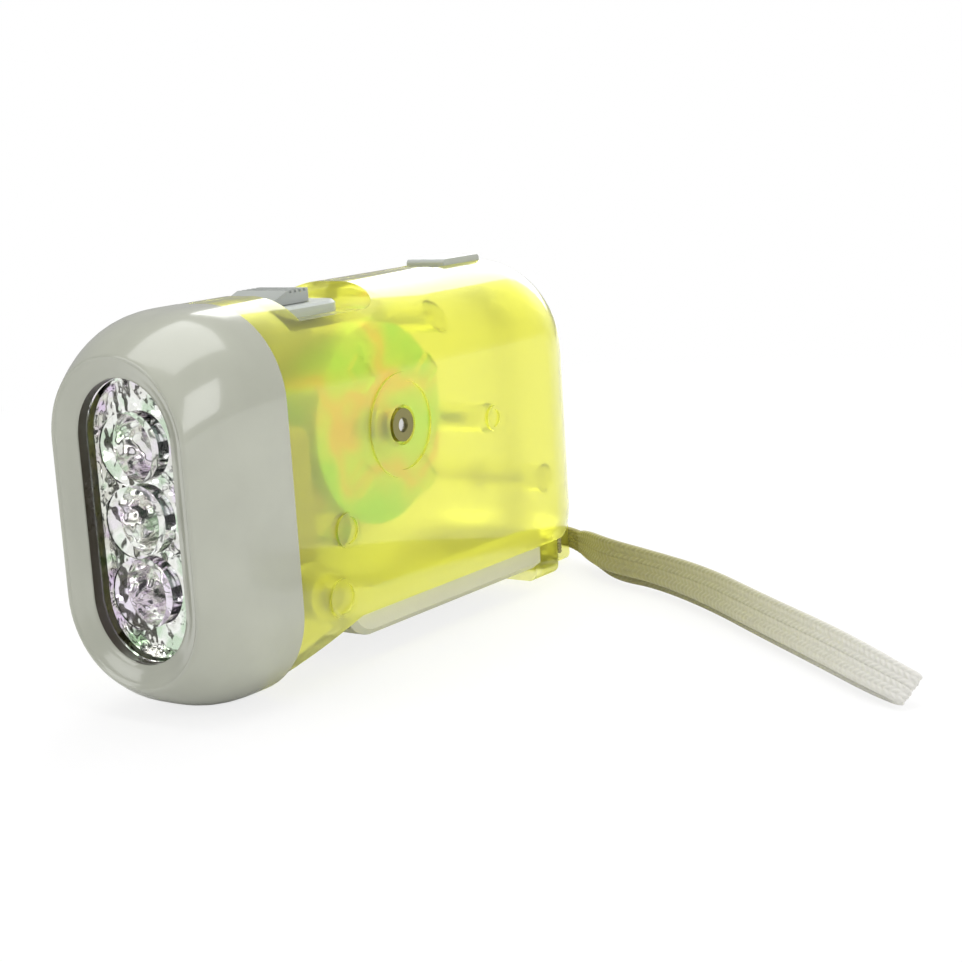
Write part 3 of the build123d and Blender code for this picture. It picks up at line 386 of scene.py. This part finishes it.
# ---------------------------------------------------------------- head
HEAD_LENGTH = 15.6
HEAD_SECTION = (15.0, 27.0, 13.0)  # half width, half height, corner
SWELL_STEPS = 22
SWELL_LENGTH = 13.75
SWELL_POWER = 2.4
RIM_FRONT = -1.15
RIM_ROLL = 0.25  # how far the rolled rim stands in front of RIM_FRONT
RIM_LAND = 0.8
RIM_STEPS = 6
RIM_HALF_WIDTH = 12.1
RIM_HALF_HEIGHT = 22.6
RIM_CORNER = 12.0
WINDOW_HALF_WIDTH = 8.4
WINDOW_HALF_HEIGHT = 19.2
WINDOW_DEPTH = 2.0


def head_rings():
    """Sections of the lamp head, from its rear edge round the rim and back inside."""
    rings = [ring_points(length, *HEAD_SECTION) for length in (HEAD_LENGTH, HEAD_LENGTH - 0.3)]
    for k in range(SWELL_STEPS + 1):
        back = (1 - k / SWELL_STEPS) ** 1.3
        swell = 1 - (1 - back) ** SWELL_POWER
        rings.append(
            ring_points(
                RIM_FRONT + SWELL_LENGTH * back,
                RIM_HALF_WIDTH + 2.9 * swell,
                RIM_HALF_HEIGHT + 4.4 * swell,
                RIM_CORNER + 1.0 * swell,
            )
        )
    # the rolled rim, then the dish down to the window
    for k in range(1, RIM_STEPS + 1):
        angle = math.pi / 2 * k / RIM_STEPS
        inward = RIM_LAND * k / RIM_STEPS
        rings.append(
            ring_points(
                RIM_FRONT - RIM_ROLL * math.sin(angle * 2),
                RIM_HALF_WIDTH - inward,
                RIM_HALF_HEIGHT - inward,
                RIM_CORNER - inward,
            )
        )
    for length, inset in ((-1.1, 0.35), (-0.5, 1.4), (-0.15, 2.3), (0.0, 2.8)):
        rings.append(
            ring_points(length, 11.3 - inset, 21.8 - inset * 2.6 / 2.9, 11.2 - inset)
        )
    window = (WINDOW_HALF_WIDTH, WINDOW_HALF_HEIGHT, WINDOW_HALF_WIDTH)
    rings.append(ring_points(0.15, *window))
    rings.append(ring_points(WINDOW_DEPTH, *window))
    # inside: behind the front wall, then the cavity to the rear edge
    rings.append(ring_points(WINDOW_DEPTH, 11.6, 23.6, 9.6))
    rings.append(ring_points(10.6, 13.2, 25.2, 11.2))
    rings.append(ring_points(HEAD_LENGTH, 13.2, 25.2, 11.2))
    return rings


head = ring_shell("lamp_head", head_rings(), head_grey, "housing")
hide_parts("head_bezel")
# painted shade: the window's wall is painted near-black brown for the shadowed gap round the lens
head.data.materials.append(painted_shade_brown.material)
for face in head.data.polygons:
    middle = face.center / MM
    beside = abs(middle.x) < WINDOW_HALF_WIDTH + 0.1
    inside = beside and abs(middle.z - MID_Z) < WINDOW_HALF_HEIGHT + 0.1
    if inside and middle.y > WINDOW_EDGE + 0.2:
        face.material_index = 1

# ---------------------------------------------------------------- strap
# (x, length, height, lean) of the doubled band's near lower edge
STATIONS = [
    (9.0, 93.0, 6.9, 0.6),
    (18.0, 84.8, 7.5, 1.6),
    (26.8, 82.7, 6.8, 1.7),
    (40.5, 74.3, 7.0, 2.8),
    (54.8, 63.4, 6.4, 3.8),
    (69.5, 52.6, 6.3, 4.2),
    (78.5, 45.8, 5.9, 4.4),
    (84.2, 42.3, 4.8, 4.9),
]
BAND_DEPTH = 3.8


def band_place(k, depth, share):
    """A place in the doubled band: how deep, and how far up its slope."""
    x, length, top, lean = STATIONS[k]
    ahead = STATIONS[min(k + 1, len(STATIONS) - 1)]
    behind = STATIONS[max(k - 1, 0)]
    turn = math.atan2(behind[1] - ahead[1], ahead[0] - behind[0])
    out = lean * share + depth
    return spot(x + math.sin(turn) * out, length + math.cos(turn) * out, top * share)


def band_points(depth, low, high):
    """Middle points and half widths of one run of the band, from the lug outwards."""
    middles, halves = [], []
    for k in range(len(STATIONS)):
        a, b = band_place(k, depth, low), band_place(k, depth, high)
        middles.append((a + b) / 2)
        halves.append((b - a) / 2)
    return middles, halves


near_middles, near_halves = band_points(0.7, 0.3, 1.0)
far_middles, far_halves = band_points(BAND_DEPTH - 0.7, 0.05, 0.72)
narrow = Vector((0, 0, 1.8)) * MM
eye_z = 4.05  # height of the lug's slot
# from the lug's slot, round its bar, out along the far run and back along the near one
eye = [
    spot(4.3, 94.4, eye_z),
    spot(0.5, 94.4, eye_z),
    spot(-4.2, 94.5, eye_z),
    spot(-4.4, 99.2, eye_z),
    spot(1.0, 99.35, eye_z),
    spot(4.6, 98.6, eye_z),
]
fold_middle = (near_middles[-1] + far_middles[-1]) / 2 + Vector((2.6, -1.5, 0)) * MM
fold_half = (near_halves[-1] + far_halves[-1]) / 2
# the near run ends stitched to the far one, beside the lug
stitch = spot(7.2, 96.5, eye_z)
route = eye + far_middles + [fold_middle] + near_middles[::-1] + [stitch]
widths = [narrow] * len(eye) + far_halves + [fold_half] + near_halves[::-1] + [narrow]


def spline_samples(points, name, keep=False):
    """Points along the NURBS spline that has these control points."""
    curve = bpy.data.curves.new(name, "CURVE")
    curve.dimensions = "3D"
    spline = curve.splines.new("NURBS")
    spline.points.add(len(points) - 1)
    for handle, point in zip(spline.points, points):
        handle.co = (*point, 1)
    spline.order_u = 3
    spline.use_endpoint_u = True
    spline.resolution_u = 24
    holder = bpy.data.objects.new(name, curve)
    bpy.context.scene.collection.objects.link(holder)
    mesh = bpy.data.meshes.new_from_object(holder)
    samples = [v.co.copy() for v in mesh.vertices]
    bpy.data.objects.remove(holder)
    bpy.data.meshes.remove(mesh)
    return samples


path = spline_samples(route, "strap_path")
edge_path = spline_samples([p + w for p, w in zip(route, widths)], "strap_edge_path")


def evenly(points, others, step):
    """Both lists again, at even steps along the first."""
    distances = [0.0]
    for a, b in zip(points, points[1:]):
        distances.append(distances[-1] + (b - a).length)
    total = distances[-1]
    count = max(2, int(total / step))
    result, k = [], 0
    for n in range(count + 1):
        want = total * n / count
        while k < len(distances) - 2 and distances[k + 1] < want:
            k += 1
        span = max(distances[k + 1] - distances[k], 1e-9)
        t = min(1.0, (want - distances[k]) / span)
        result.append((points[k].lerp(points[k + 1], t), others[k].lerp(others[k + 1], t), want))
    return result, total


PLAITS = 6
STITCH_PITCH = 0.00115
BAND_CORE = (0.55 - 0.32) * MM
RIB_RISE = 0.2 * MM
STITCH_RISE = 0.12 * MM


def braided_band(name, step=0.00022, across=40):
    """A flat braid: rows of slanting plaits, laid along the spline."""
    stations, total = evenly(path, edge_path, step)
    verts, faces = [], []
    rows = []
    for n, (middle, edge, travelled) in enumerate(stations):
        half = edge - middle
        before = stations[max(0, n - 1)][0]
        after = stations[min(len(stations) - 1, n + 1)][0]
        tangent = (after - before).normalized()
        half = half - tangent * half.dot(tangent)
        normal = tangent.cross(half).normalized()
        ring = []
        for side in (1, -1):
            for k in range(across + 1):
                v = (k / across) * 2 - 1
                v = v if side > 0 else -v
                u = (v + 1) / 2 * PLAITS
                rib = abs(math.sin(math.pi * u))
                slant = 1 if int(min(u, PLAITS - 0.001)) % 2 else -1
                phase = travelled / STITCH_PITCH + slant * (u % 1.0) * 0.9
                stitch = abs(math.sin(math.pi * phase)) ** 0.6
                edge_fall = math.sqrt(max(0.0, 1 - abs(v) ** 8))
                plait_rise = RIB_RISE * rib**0.5 * (0.35 + 0.65 * stitch)
                height = BAND_CORE + plait_rise + STITCH_RISE * stitch
                lift = side * height * (0.25 + 0.75 * edge_fall)
                ring.append(middle + half * v + normal * lift)
        rows.append(ring)
    size = len(rows[0])
    for ring in rows:
        verts.extend(ring)
    for r in range(len(rows) - 1):
        for k in range(size):
            n = (k + 1) % size
            faces.append((r * size + k, r * size + n, (r + 1) * size + n, (r + 1) * size + k))
    faces.append(tuple(reversed(range(size))))
    faces.append(tuple(range((len(rows) - 1) * size, len(rows) * size)))
    return new_piece(name, verts, faces, braid, "housing", sharp=60), total


strap, strap_length = braided_band("wrist_band")
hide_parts("wrist_strap")

# ---------------------------------------------------------------- studio
world = bpy.data.worlds.new("studio")
bpy.context.scene.world = world
world.use_nodes = True
sky = world.node_tree.nodes["Background"]
sky.inputs["Color"].default_value = (1, 1, 1, 1)
sky.inputs["Strength"].default_value = 0.42
world_out = world.node_tree.nodes["World Output"]
rays = world.node_tree.nodes.new("ShaderNodeLightPath")
white = world.node_tree.nodes.new("ShaderNodeBackground")
white.inputs["Color"].default_value = (1, 1, 1, 1)
white.inputs["Strength"].default_value = 1.0
world_mix = world.node_tree.nodes.new("ShaderNodeMixShader")
either = world.node_tree.nodes.new("ShaderNodeMath")
either.operation = "MAXIMUM"
world.node_tree.links.new(rays.outputs["Is Camera Ray"], either.inputs[0])
world.node_tree.links.new(rays.outputs["Is Transmission Ray"], either.inputs[1])
world.node_tree.links.new(either.outputs["Value"], world_mix.inputs[0])
world.node_tree.links.new(sky.outputs["Background"], world_mix.inputs[1])
world.node_tree.links.new(white.outputs["Background"], world_mix.inputs[2])
world.node_tree.links.new(world_mix.outputs["Shader"], world_out.inputs["Surface"])

floor_finish = Finish("floor_white", Base_Color=(0.9, 0.9, 0.9, 1), Roughness=0.8)
floor_rays = floor_finish.node("ShaderNodeLightPath")
floor_either = floor_finish.node(
    "ShaderNodeMath",
    {"operation": "MAXIMUM"},
    _0=floor_rays.outputs["Is Camera Ray"],
    _1=floor_rays.outputs["Is Transmission Ray"],
)
floor_place = floor_finish.node("ShaderNodeTexCoord").outputs["Object"]
floor_away = floor_finish.node("ShaderNodeVectorMath", {"operation": "LENGTH"}, Vector=floor_place)
floor_level = floor_finish.node(
    "ShaderNodeMapRange",
    Value=floor_away.outputs["Value"],
    **{"From_Min": 0.08, "From_Max": 0.3, "To_Min": 0.8, "To_Max": 1.0},
)
floor_share = floor_finish.node(
    "ShaderNodeMath",
    {"operation": "MULTIPLY"},
    _0=floor_either.outputs["Value"],
    _1=floor_level.outputs["Result"],
)
floor_glow = floor_finish.node("ShaderNodeEmission", Color=(1, 1, 1, 1), Strength=1.0)
floor_mix = floor_finish.node(
    "ShaderNodeMixShader",
    _0=floor_share.outputs["Value"],
    _1=floor_finish.shader.outputs["BSDF"],
    _2=floor_glow.outputs["Emission"],
)
floor_finish.tree.links.new(floor_mix.outputs["Shader"], floor_finish.output.inputs["Surface"])

reach = 3.0  # half the floor's side
floor_mesh = bpy.data.meshes.new("floor")
floor_mesh.from_pydata(
    [(-reach, -reach, 0), (reach, -reach, 0), (reach, reach, 0), (-reach, reach, 0)],
    [],
    [(0, 1, 2, 3)],
)
floor_mesh.materials.append(floor_finish.material)
floor = bpy.data.objects.new("floor", floor_mesh)
bpy.context.scene.collection.objects.link(floor)


def area_light(name, place, target, size, watts):
    """A soft square lamp that looks at a target."""
    lamp = bpy.data.lights.new(name, "AREA")
    lamp.size = size
    lamp.energy = watts
    holder = bpy.data.objects.new(name, lamp)
    bpy.context.scene.collection.objects.link(holder)
    direction = Vector(target) - Vector(place)
    aim = direction.to_track_quat("-Z", "Y").to_matrix().to_4x4()
    holder.matrix_world = Matrix.Translation(place) @ aim


area_light("overhead", (0.0, 0.05, 0.75), (0, 0, 0.02), 0.7, 4.0)
area_light("front_left", (-0.35, -0.65, 0.45), (0, 0, 0.02), 0.45, 1.7)
area_light("right", (0.75, -0.1, 0.35), (0, 0, 0.02), 0.45, 2.3)
area_light("behind", (-0.25, 0.7, 0.35), (0, 0, 0.03), 0.5, 2.8)

# the camera was fitted to the outlines in the photo
CAMERA_PLACE = (0.18471, -0.22583, 0.07743)
CAMERA_RIGHT = Vector((0.81629, 0.57415, -0.06348))
CAMERA_UP = Vector((-0.05645, 0.18865, 0.98042))

camera_data = bpy.data.cameras.new("camera")
camera_data.lens = 73.5
camera_data.sensor_width = 36.0
camera = bpy.data.objects.new("camera", camera_data)
bpy.context.scene.collection.objects.link(camera)
axes = (CAMERA_RIGHT, CAMERA_UP, CAMERA_RIGHT.cross(CAMERA_UP))
turned = Matrix(axes).transposed().to_4x4()
camera.matrix_world = Matrix.Translation(CAMERA_PLACE) @ turned
bpy.context.scene.camera = camera
bpy.context.scene.view_settings.view_transform = "Standard"
